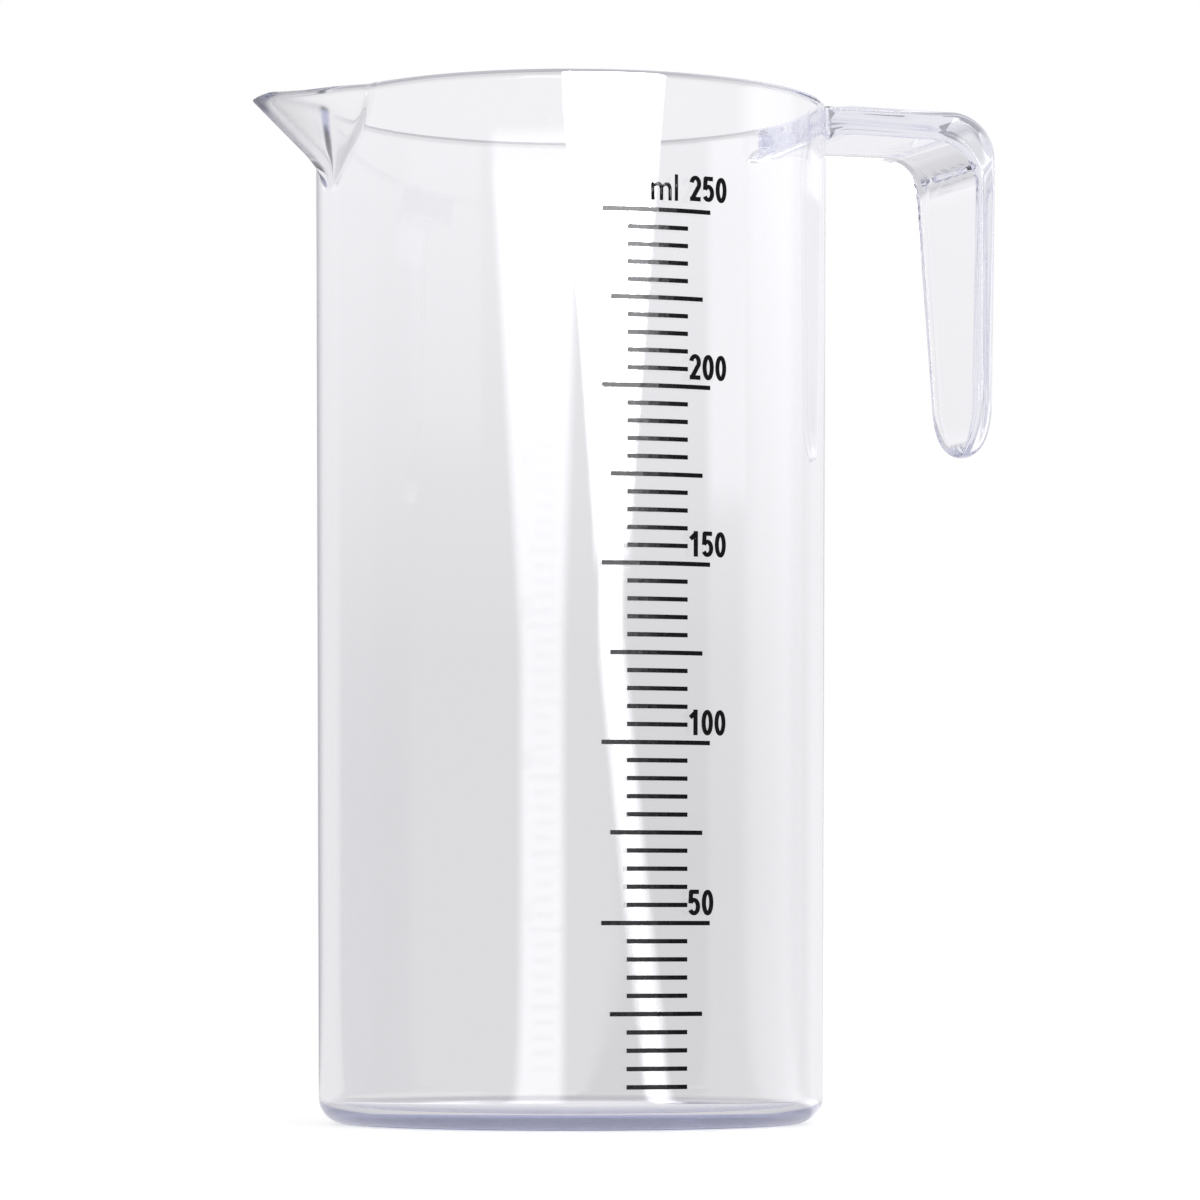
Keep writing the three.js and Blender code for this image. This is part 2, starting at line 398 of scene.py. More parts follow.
@dataclass(frozen=True)
class PrintedInk:
    """A thin film of black screen ink with a slight gloss."""

    effects: SurfaceEffects
    thick: Colour = (0.003, 0.003, 0.004, 1.0)
    thin: Colour = (0.007, 0.007, 0.008, 1.0)
    gloss: float = 0.12
    shine: float = 0.13
    grain: float = 2500.0
    dullness: float = 0.03
    relief: float = 0.1
    relief_depth: float = 0.01 * MM

    def material(self) -> bpy.types.Material:
        """Makes the material.

        Returns:
            The ink's material.
        """
        made = bpy.data.materials.new("ink")
        graph = blank(made)
        place = graph.node("ShaderNodeTexCoord").outputs["Object"]
        cover = self.effects.speckle.use(graph, {"Position": place, "Grain": self.grain})
        colour = graph.mix(cover, self.thin, self.thick)
        roughness = graph.maths("MULTIPLY_ADD", cover, -self.dullness, self.gloss + self.dullness)
        bump = graph.node(
            "ShaderNodeBump", {"Strength": self.relief, "Distance": self.relief_depth, "Height": cover}
        )
        surface = graph.node(
            "ShaderNodeBsdfPrincipled",
            {
                "Base Color": colour,
                "Roughness": roughness,
                "Specular IOR Level": self.shine,
                "Normal": bump.outputs["Normal"],
            },
        )
        graph.node("ShaderNodeOutputMaterial", {"Surface": surface.outputs[0]})
        return made


def blended_max(first: float, second: float, reach: float) -> float:
    """Takes the larger of two numbers, rounded where they cross.

    Args:
        first: one number.
        second: the other.
        reach: difference within which the crossing is rounded.

    Returns:
        The blended number.
    """
    overlap = max(reach - abs(first - second), 0.0) / reach
    return max(first, second) + overlap * overlap * reach / 4


def eased(value: float) -> float:
    """Eases a share from 0 to 1.

    Args:
        value: the share, cut to that range.

    Returns:
        The eased share.
    """
    share = min(max(value, 0.0), 1.0)
    return share * share * (3 - 2 * share)


@dataclass(frozen=True)
class PouringLip:
    """The lip that is drawn out of the rim: a cone with its point on the -X side. Sizes are millimetres."""

    reach: float = 9.2
    width: float = 16.8
    depth: float = 8.8
    droop: float = 0.9
    wall: float = 1.4
    sag: float = 0.3
    sag_share: float = 0.6
    nose: float = 1.8
    keel_blend: float = 3.2
    side_blend: float = 0.3
    side_turn: float = math.radians(12)

    @property
    def point(self) -> float:
        """Length of the cone from the wall to its point, which the droop of the nose cuts off."""
        return self.reach / (1 - self.droop / self.depth)

    @property
    def inset(self) -> float:
        """Distance along the axis from the outer cone to the inner one."""
        return self.wall / math.sin(math.atan2(self.depth, self.point))

    def cone(self, turn: float, drop: float, tip: float) -> float:
        """Finds the cone's distance from the cup's axis.

        Args:
            turn: angle from the lip's middle, in radians.
            drop: depth below the rim.
            tip: distance of the cone's point from the cup's axis.

        Returns:
            The distance, or 0 where the cone isn't met.
        """
        back = drop * self.point / self.depth
        spread = math.cos(turn) ** 2 - (math.sin(turn) * 2 * self.point / self.width) ** 2
        ahead = tip * math.cos(turn)
        inside = ahead**2 - spread * (tip**2 - back**2)
        if spread <= 0 or inside < 0 or back > tip:
            return 0.0
        return (ahead - math.sqrt(inside)) / spread

    def fallen(self, radius: float, rim: float) -> float:
        """Finds how far the lip's edge has come down.

        Args:
            radius: distance from the cup's axis.
            rim: radius of the rim.

        Returns:
            The depth below the rim.
        """
        out = radius - rim
        nose = max(out - (self.reach - self.nose), 0.0) / self.nose
        return self.sag * eased(out / (self.sag_share * self.reach)) + (self.droop - self.sag) * nose**2

    def blend(self, turn: float) -> float:
        """Finds how softly the lip runs into the wall.

        Args:
            turn: angle from the lip's middle, in radians.

        Returns:
            The reach of the blend.
        """
        share = eased(abs(turn) / self.side_turn)
        return self.keel_blend + (self.side_blend - self.keel_blend) * share


@dataclass(frozen=True)
class Section:
    """A rounded rectangle across the strap. Sizes are millimetres."""

    inner: Vector
    outer: Vector
    width: float
    edge: float

    def point(self, across: float, through: float) -> Vector:
        """Places a point of a square of -1 to 1 on the section.

        Args:
            across: its place along Y.
            through: its place along the thickness.

        Returns:
            The place in space.
        """
        through_line = self.outer - self.inner
        thickness = through_line.length
        half = (self.width / 2, thickness / 2)
        edge = min(self.edge, EDGE_LIMIT * self.width, EDGE_LIMIT * thickness)
        place = Vector((math.sin(across * math.pi / 2) * half[0], through * half[1]))
        core = Vector(max(-h + edge, min(h - edge, p)) for p, h in zip(place, half))
        over = place - core
        if over.length > 0:
            place = core + over.normalized() * max(abs(over.x), abs(over.y))
        middle = (self.inner + self.outer) / 2
        return middle + Vector((0, place.x, 0)) + through_line.normalized() * place.y

    def towards(self, end: "Section", share: float) -> "Section":
        """Finds a section between this one and another.

        Args:
            end: the other section.
            share: how far along it lies, from 0 to 1.

        Returns:
            The section there.
        """
        return Section(
            self.inner.lerp(end.inner, share),
            self.outer.lerp(end.outer, share),
            self.width + (end.width - self.width) * share,
            self.edge,
        )


@dataclass(frozen=True)
class StrapHandle:
    """The open strap handle on the +X side: arm, bend, grip and round end. Sizes are millimetres."""

    finger_gap: float = 17.8
    root_width: float = 21.5
    bend_width: float = 19.5
    arm_thickness: float = 3.4
    arm_rise: float = 0.45
    grip_thickness: float = 2.5
    bend_radius: float = 5.5
    grip_drop: float = 40.0
    end_width: float = 14.0
    lean: float = math.radians(1.5)
    edge: float = 0.9
    root_reach: float = 1.5
    end_angle: float = math.radians(86)
    end_fall: int = 8
    arm_rings: int = 8
    bend_rings: int = 16
    grip_rings: int = 14
    end_rings: int = 16

    def sections(self, rim: float, height: float) -> Iterator[Section]:
        """Walks along the strap from its root to its free end.

        Args:
            rim: radius of the rim.
            height: height of the rim.

        Yields:
            The strap's sections.
        """
        top = height + self.arm_rise
        underside = top - self.arm_thickness
        down = Vector((math.sin(self.lean), 0, -math.cos(self.lean)))
        outward = Vector((math.cos(self.lean), 0, math.sin(self.lean)))
        corner = Vector((rim + self.finger_gap, 0, underside))

        def bend_centre(level: float, offset: float) -> Vector:
            """Finds the middle of a bend.

            Args:
                level: the height of the arm's face.
                offset: the distance of the grip's face from its inner face.

            Returns:
                The point that the bend turns round.
            """
            z = level - self.bend_radius
            x = (corner.dot(outward) + offset - self.bend_radius - outward.z * z) / outward.x
            return Vector((x, 0, z))

        inner = bend_centre(underside, 0)
        outer = bend_centre(top, self.grip_thickness)
        bend = []
        for i in range(self.bend_rings + 1):
            angle = (math.pi / 2 - self.lean) * i / self.bend_rings
            out = Vector((math.sin(angle), 0, math.cos(angle))) * self.bend_radius
            bend.append(Section(inner + out, outer + out, self.bend_width, self.edge))
        arm_x = rim + self.root_reach
        root = Section(Vector((arm_x, 0, underside)), Vector((arm_x, 0, top)), self.root_width, self.edge)
        for i in range(self.arm_rings):
            yield root.towards(bend[0], i / self.arm_rings)
        yield from bend

        length = (underside - (height - self.grip_drop)) / math.cos(self.lean)
        end_start = corner + down * (length - self.end_width / 2)
        across = outward * self.grip_thickness
        end = Section(end_start, end_start + across, self.end_width, self.edge)
        for i in range(1, self.grip_rings):
            yield bend[-1].towards(end, i / self.grip_rings)
        for i in range(self.end_rings + 1):
            angle = self.end_angle * i / self.end_rings
            along = self.end_width / 2 * math.sin(angle) / math.sin(self.end_angle)
            thinning = math.sqrt(1 - math.sin(angle) ** self.end_fall)
            middle = end_start + across / 2 + down * along
            yield Section(
                middle - across * thinning / 2,
                middle + across * thinning / 2,
                self.end_width * math.cos(angle),
                self.edge,
            )


@dataclass
class CupMoulding:
    """The clear moulding: cup, pouring lip and strap handle in one skin. Sizes are millimetres."""

    finish: ClearPlastic
    lip: PouringLip = field(default_factory=PouringLip)
    handle: StrapHandle = field(default_factory=StrapHandle)
    height: float = 119.1
    rim_radius: float = 30.0
    outer_slope: float = math.tan(math.radians(0.33))
    inner_slope: float = math.tan(math.radians(0.22))
    rim_wall: float = 1.6
    floor: float = 1.8
    foot_fillet: float = 3.0
    floor_fillet: float = 1.2
    rim_outer: float = 0.5
    rim_inner: float = 0.6
    firm: float = 0.4
    upper_zone: float = 16.0
    lip_sector: float = math.radians(27)
    handle_sector: float = math.radians(26)
    lip_steps: int = 180
    handle_steps: int = 80
    plain_steps: int = 80
    upper_rows: int = 44
    lower_rows: int = 8
    base_rows: int = 4
    fillet_rows: int = 8
    rim_rows: int = 5
    rim_top_rows: int = 2
    shortest_cut: float = 1.0
    edge_rounds: int = 12
    root_fillet: float = 1.2
    root_rows: int = 6
    flare_turn: float = 0.5
    gate_radius: float = 4.0
    gate_depth: float = 0.5
    gate_slope: float = 1.6
    weld: float = 1e-4
    crease: float = math.radians(28)

    def outer(self, z: float) -> float:
        """Finds the wall's outer radius.

        Args:
            z: height over the base.

        Returns:
            The radius there.
        """
        return self.rim_radius - (self.height - z) * self.outer_slope

    def inner(self, z: float) -> float:
        """Finds the wall's inner radius.

        Args:
            z: height over the base.

        Returns:
            The radius there.
        """
        return self.rim_radius - self.rim_wall - (self.height - z) * self.inner_slope

    def draw_section(self, bm: bmesh.types.BMesh) -> None:
        """Draws half of the cup's section as a chain of edges with rounded corners.

        Args:
            bm: the mesh that takes the chain.
        """
        zone = self.height - self.upper_zone
        foot = self.foot_fillet + self.firm
        well = self.floor + self.floor_fillet + self.firm
        chain = [
            (0.0, 0.0),
            (self.outer(0.0), 0.0),
            (self.outer(foot), foot),
            (self.outer(zone), zone),
            (self.rim_radius, self.height),
            (self.rim_radius - self.rim_wall, self.height),
            (self.inner(zone), zone),
            (self.inner(well), well),
            (self.inner(self.floor), self.floor),
            (0.0, self.floor),
        ]
        tag = bm.edges.layers.int.new("rows")
        verts = [bm.verts.new((radius, 0.0, z)) for radius, z in chain]
        edges = [bm.edges.new(pair) for pair in zip(verts, verts[1:])]
        outer_rows = [self.base_rows, 1, self.lower_rows, self.upper_rows]
        rows = [*outer_rows, self.rim_top_rows, *reversed(outer_rows)]
        corners = [
            (verts[1], self.foot_fillet, self.fillet_rows),
            (verts[4], self.rim_outer, self.rim_rows),
            (verts[5], self.rim_inner, self.rim_rows),
            (verts[8], self.floor_fillet, self.fillet_rows),
        ]
        for edge, count in zip(edges, rows):
            edge[tag] = count
        for vert, radius, segments in corners:
            bmesh.ops.bevel(
                bm,
                geom=[vert],
                offset=radius,
                offset_type="OFFSET",
                segments=segments,
                profile=0.5,
                affect="VERTICES",
                material=-1,
            )
        for count in sorted(set(rows) - {1}):
            chosen = [
                edge for edge in bm.edges if edge[tag] == count and edge.calc_length() > self.shortest_cut
            ]
            bmesh.ops.subdivide_edges(bm, edges=chosen, cuts=count - 1)

    def turn_section(self, bm: bmesh.types.BMesh) -> None:
        """Turns the section round the axis, finely where the lip and the handle are.

        Args:
            bm: the mesh that holds the section.
        """
        plain = math.pi - self.lip_sector - self.handle_sector
        start = Matrix.Rotation(-self.handle_sector, 3, "Z")
        bmesh.ops.rotate(bm, verts=bm.verts, cent=(0, 0, 0), matrix=start)
        section = bm.verts[:] + bm.edges[:]
        sweeps = [
            (2 * self.handle_sector, self.handle_steps),
            (plain, self.plain_steps),
            (2 * self.lip_sector, self.lip_steps),
            (plain, self.plain_steps),
        ]
        for angle, steps in sweeps:
            turned = bmesh.ops.spin(
                bm, geom=section, cent=(0, 0, 0), axis=(0, 0, 1), angle=angle, steps=steps, use_merge=False
            )
            section = turned["geom_last"]
        bmesh.ops.remove_doubles(bm, verts=bm.verts, dist=self.weld)
        bmesh.ops.recalc_face_normals(bm, faces=bm.faces)

    def draw_out_lip(self, bm: bmesh.types.BMesh) -> None:
        """Moves the points of the rim and wall on the -X side out to the pouring lip.

        Args:
            bm: the turned mesh.
        """
        lip = self.lip
        outer_tip = self.rim_radius + lip.point
        inner_tip = outer_tip - lip.inset
        for vert in bm.verts:
            drop = self.height - vert.co.z
            turn = math.atan2(vert.co.y, -vert.co.x)
            radius = math.hypot(vert.co.x, vert.co.y)
            if drop > self.upper_zone or abs(turn) > self.lip_sector or radius < self.rim_radius / 2:
                continue
            share = (radius - self.inner(vert.co.z)) / (self.outer(vert.co.z) - self.inner(vert.co.z))
            fallen = 0.0
            for _ in range(self.edge_rounds):
                edge = max(lip.cone(turn, fallen, outer_tip), self.rim_radius)
                fallen = (fallen + lip.fallen(edge * math.cos(turn), self.rim_radius)) / 2
            drop = fallen + drop * (1 - fallen / self.upper_zone)
            z = self.height - drop
            blend = lip.blend(turn)
            far = blended_max(self.outer(z), lip.cone(turn, drop, outer_tip), blend)
            near = blended_max(self.inner(z), lip.cone(turn, drop, inner_tip), blend)
            radius = near + (far - near) * share
            vert.co = (-radius * math.cos(turn), radius * math.sin(turn), z)

    def grow_handle(self, bm: bmesh.types.BMesh) -> None:
        """Draws the strap out of the wall on the +X side, ring by ring.

        Args:
            bm: the turned mesh.
        """
        across = bm.verts.layers.float.new("across")
        through = bm.verts.layers.float.new("through")
        root = bm.verts.layers.float_vector.new("root")
        handle = self.handle
        half_turn = math.asin((handle.root_width / 2 + self.root_fillet) / self.rim_radius)
        lowest = self.height + handle.arm_rise - handle.arm_thickness - self.root_fillet
        patch = []
        for face in bm.faces:
            middle = face.calc_center_median()
            radius = math.hypot(middle.x, middle.y)
            turn = abs(math.atan2(middle.y, middle.x))
            if turn < half_turn and middle.z > lowest and radius > self.rim_radius - self.rim_outer:
                patch.append(face)
        verts = {vert for face in patch for vert in face.verts}
        for vert in verts:
            vert[root] = vert.co
            vert[across] = math.atan2(vert.co.y, vert.co.x)
            vert[through] = vert.co.z + self.outer(vert.co.z) - math.hypot(vert.co.x, vert.co.y)
        widest = max(vert[across] for vert in verts)
        low = min(vert[through] for vert in verts)
        high = max(vert[through] for vert in verts)
        for vert in verts:
            vert[across] /= widest
            vert[through] = 2 * (vert[through] - low) / (high - low) - 1
        sections = list(handle.sections(self.rim_radius, self.height))
        for i in range(1, self.root_rows):
            patch = self.extrude(bm, patch)
            angle = math.pi / 2 * i / self.root_rows
            for vert in {vert for face in patch for vert in face.verts}:
                start = Vector(vert[root])
                end = sections[0].point(vert[across], vert[through])
                out = 1 - math.cos(angle)
                side = math.sin(angle)
                rise = side + (out - side) * eased(vert[through] + self.flare_turn)
                vert.co = (
                    start.x + (end.x - start.x) * out,
                    start.y + (end.y - start.y) * side,
                    start.z + (end.z - start.z) * rise,
                )
        for section in sections:
            patch = self.extrude(bm, patch)
            for vert in {vert for face in patch for vert in face.verts}:
                vert.co = section.point(vert[across], vert[through])

    def extrude(self, bm: bmesh.types.BMesh, patch: list[bmesh.types.BMFace]) -> list[bmesh.types.BMFace]:
        """Draws a patch of faces out by one ring.

        Args:
            bm: the mesh.
            patch: the faces at the end of the strap.

        Returns:
            The same faces on the new end.
        """
        drawn = bmesh.ops.extrude_face_region(bm, geom=patch)
        left = [face for face in patch if face.is_valid]
        if left:
            bmesh.ops.delete(bm, geom=left, context="FACES")
        return [item for item in drawn["geom"] if isinstance(item, bmesh.types.BMFace)]

    def dish_gate(self, bm: bmesh.types.BMesh) -> None:
        """Lifts the middle of the underside to the shallow dimple that the moulding gate leaves.

        Args:
            bm: the turned mesh.
        """
        for vert in bm.verts:
            radius = math.hypot(vert.co.x, vert.co.y)
            if abs(vert.co.z) < self.weld and radius < self.gate_radius:
                vert.co.z = self.gate_depth * eased((self.gate_radius - radius) / self.gate_slope)

    def build(self) -> bpy.types.Object:
        """Builds the moulding, dresses it and puts it in place of the frame's cup and handle.

        Returns:
            The moulding's object.
        """
        bm = bmesh.new()
        self.draw_section(bm)
        self.turn_section(bm)
        self.draw_out_lip(bm)
        self.grow_handle(bm)
        self.dish_gate(bm)
        bmesh.ops.recalc_face_normals(bm, faces=bm.faces)
        for face in bm.faces:
            face.smooth = True
        for edge in bm.edges:
            edge.smooth = edge.calc_face_angle(0.0) < self.crease
        bmesh.ops.scale(bm, vec=(MM, MM, MM), verts=bm.verts)
        made = finished("clear_moulding", bm, self.finish.material())
        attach(made, "root")
        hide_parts("cup_body", "handle")
        log.info("clear_moulding: %d faces", len(made.data.polygons))
        return made


@dataclass(frozen=True)
class Label:
    """A printed word beside a long bar. Sizes are millimetres, and angles are from -Y towards +X."""

    name: str
    text: str
    bar: str
    start: float
    end: float
    height: float
    lift: float


def arc(centre: Pair, radii: Pair, start: float, end: float, steps: int = 16) -> list[Pair]:
    """Lists points along part of an ellipse.

    Args:
        centre: its middle.
        radii: its half width and half height.
        start: the angle of the first point, in degrees.
        end: the angle of the last point.
        steps: the number of pieces.

    Returns:
        The points.
    """
    points = []
    for i in range(steps + 1):
        turn = math.radians(start + (end - start) * i / steps)
        points.append((centre[0] + radii[0] * math.cos(turn), centre[1] + radii[1] * math.sin(turn)))
    return points


@dataclass(frozen=True)
class DigitPen:
    """A pen that draws narrow bold digits. Sizes are millimetres."""

    width: float = 1.42
    height: float = 2.9
    gap: float = 0.22
    stroke: float = 0.5
    closing: float = 0.05

    def lines(self, digit: str) -> list[list[Pair]]:
        """Lists the pen's lines for a digit of the scale.

        Args:
            digit: the digit.

        Returns:
            Points of each line, as shares of the box that the pen's middle moves in.
        """
        return {
            "0": [arc((0.5, 0.5), (0.5, 0.5), 90, 450, 32)],
            "1": [[(0.7, -0.1), (0.7, 1.1)], [(0.7, 0.98), (0.0, 0.72)]],
            "2": [[*arc((0.5, 0.72), (0.5, 0.28), 170, -25), (0.08, 0.0)], [(-0.2, 0.0), (1.2, 0.0)]],
            "5": [
                [(1.1, 1.0), (-0.05, 1.0)],
                [(0.1, 1.05), (0.02, 0.46)],
                arc((0.46, 0.31), (0.54, 0.31), 145, -150),
            ],
        }[digit]

    def ribbon(self, bm: bmesh.types.BMesh, places: list[Vector]) -> None:
        """Draws one line as a flat ribbon.

        Args:
            bm: the mesh that takes it.
            places: the middle of the ribbon.
        """
        closed = (places[0] - places[-1]).length < self.closing
        before = [places[-2 if closed else 0], *places[:-1]]
        after = [*places[1:], places[1 if closed else -1]]
        rows = []
        for place, start, end in zip(places, before, after):
            along = (end - start).normalized()
            side = Vector((-along.y, along.x, 0)) * self.stroke / 2
            rows.append((bm.verts.new(place + side), bm.verts.new(place - side)))
        for (left, right), (next_left, next_right) in zip(rows, rows[1:]):
            bm.faces.new((left, right, next_right, next_left))

    def draw(self, number: str) -> bmesh.types.BMesh:
        """Draws a number flat.

        Args:
            number: its digits.

        Returns:
            A flat mesh of the number.
        """
        bm = bmesh.new()
        span = Vector((self.width - self.stroke, self.height - self.stroke))
        for i, digit in enumerate(number):
            left = i * (self.width + self.gap) + self.stroke / 2
            for line in self.lines(digit):
                places = [Vector((left + x * span.x, self.stroke / 2 + y * span.y, 0)) for x, y in line]
                self.ribbon(bm, places)
        return bm


@dataclass
class PrintedScale:
    """The black scale on the wall: the frame's bars, dressed, and the numerals beside them."""

    finish: PrintedInk
    cup: CupMoulding
    pen: DigitPen = field(default_factory=DigitPen)
    numbers: tuple[int, ...] = (50, 100, 150, 200, 250)
    number_start: float = math.radians(7.3)
    digit_turn: float = math.radians(3.15)
    number_height: float = 2.9
    number_lift: float = 0.6
    top_lift: float = 0.95
    unit_lift: float = 0.85
    unit_start: float = math.radians(-1.7)
    unit_end: float = math.radians(4.5)
    unit_height: float = 3.0
    unit_weight: float = 0.008
    film: float = 0.06
    clearance: float = 0.02
    cut_width: float = 0.4
    weld: float = 1e-5
    unit_curve_steps: int = 6

    def labels(self) -> Iterator[Label]:
        """Lists the words of the scale.

        Yields:
            Each numeral, and the unit beside the top one.
        """
        top = max(self.numbers)
        for number in self.numbers:
            end = self.number_start + self.digit_turn * len(str(number))
            yield Label(
                f"numeral_{number:03d}",
                str(number),
                f"mark_{number:03d}",
                self.number_start,
                end,
                self.number_height,
                self.top_lift if number == top else self.number_lift,
            )
        yield Label(
            "unit_ml",
            "ml",
            f"mark_{top:03d}",
            self.unit_start,
            self.unit_end,
            self.unit_height,
            self.unit_lift,
        )

    def outline(self, label: Label) -> bmesh.types.BMesh:
        """Draws a label flat.

        Args:
            label: the word.

        Returns:
            A flat mesh of the word.
        """
        if label.text.isdigit():
            return self.pen.draw(label.text)
        curve = bpy.data.curves.new(label.name, "FONT")
        curve.body = label.text
        curve.offset = self.unit_weight
        curve.resolution_u = self.unit_curve_steps
        shown = bpy.data.objects.new(label.name + "_text", curve)
        bpy.context.scene.collection.objects.link(shown)
        bpy.context.view_layer.update()
        flat = bpy.data.meshes.new_from_object(shown.evaluated_get(bpy.context.evaluated_depsgraph_get()))
        bm = bmesh.new()
        bm.from_mesh(flat)
        bpy.data.objects.remove(shown)
        bpy.data.curves.remove(curve)
        bpy.data.meshes.remove(flat)
        return bm

    def print_label(self, label: Label, material: bpy.types.Material) -> None:
        """Prints a label on the wall.

        Args:
            label: the word.
            material: the ink.
        """
        bm = self.outline(label)
        bmesh.ops.remove_doubles(bm, verts=bm.verts, dist=self.weld)
        lowest = Vector(min(vert.co[axis] for vert in bm.verts) for axis in range(3))
        highest = Vector(max(vert.co[axis] for vert in bm.verts) for axis in range(3))
        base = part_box(label.bar)[1].z / MM + label.lift
        radius = self.cup.outer(base)
        width = (label.end - label.start) * radius
        bmesh.ops.translate(bm, vec=-lowest, verts=bm.verts)
        stretch = (width / (highest.x - lowest.x), label.height / (highest.y - lowest.y), 1.0)
        bmesh.ops.scale(bm, vec=stretch, verts=bm.verts)
        for i in range(1, math.ceil(width / self.cut_width)):
            everything = bm.verts[:] + bm.edges[:] + bm.faces[:]
            bmesh.ops.bisect_plane(
                bm, geom=everything, plane_co=(i * self.cut_width, 0, 0), plane_no=(1, 0, 0)
            )
        bmesh.ops.solidify(bm, geom=bm.faces[:], thickness=self.film)
        depth = min(vert.co.z for vert in bm.verts)
        for vert in bm.verts:
            z = base + vert.co.y
            away = self.cup.outer(z) + self.clearance + vert.co.z - depth
            turn = label.start + vert.co.x / radius
            vert.co = (away * math.sin(turn), -away * math.cos(turn), z)
        bmesh.ops.recalc_face_normals(bm, faces=bm.faces)
        bmesh.ops.scale(bm, vec=(MM, MM, MM), verts=bm.verts)
        made = finished(label.name, bm, material)
        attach(made, "root")
        log.info("%s: %d faces", label.name, len(made.data.polygons))

    def build(self) -> None:
        """Dresses the frame's bars and prints the labels."""
        material = self.finish.material()
        bars = [node for name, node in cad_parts.items() if name.startswith("mark_")]
        for bar in bars:
            for held in bar.material_slots:
                held.material = material
        log.info("%d bars dressed", len(bars))
        for label in self.labels():
            self.print_label(label, material)


class Sight(Enum):
    """The ways that light from the studio reaches the camera."""

    THROUGH = "through the plastic"
    BOTH = "through the near wall and the far wall"
    NEAR = "mirrored by the near wall"
    FAR = "mirrored by the far wall"
    DEEP = "mirrored more than once"


@dataclass(frozen=True)
class Panel:
    """A field of the studio as the cup sees it. Angles are degrees: azimuth from the camera to its right,
    and elevation. Its sides and its level may change from the foot of the slant to its head."""

    name: str
    sight: Sight
    left: Pair
    right: Pair
    slant: Pair
    bottom: float
    top: float
    softness: Pair
    level: Pair

    def sockets(self) -> dict[str, float]:
        """Names the panel's numbers as the inputs of the shared group.

        Returns:
            The value of each input.
        """
        pairs = {"Left": self.left, "Right": self.right, "Slant": self.slant, "Level": self.level}
        values = {"Bottom": self.bottom, "Top": self.top}
        values["Softness"], values["Fade"] = self.softness
        for name, pair in pairs.items():
            values[f"{name} Low"], values[f"{name} High"] = pair
        return values


ALL_ROUND = ((-400.0, -400.0), (400.0, 400.0))
ALL_HEIGHTS = (-95.0, 95.0)
STRAIGHT = ((-10.0, 10.0), *ALL_HEIGHTS)  # slant, bottom and top of a panel that is the same all the way up


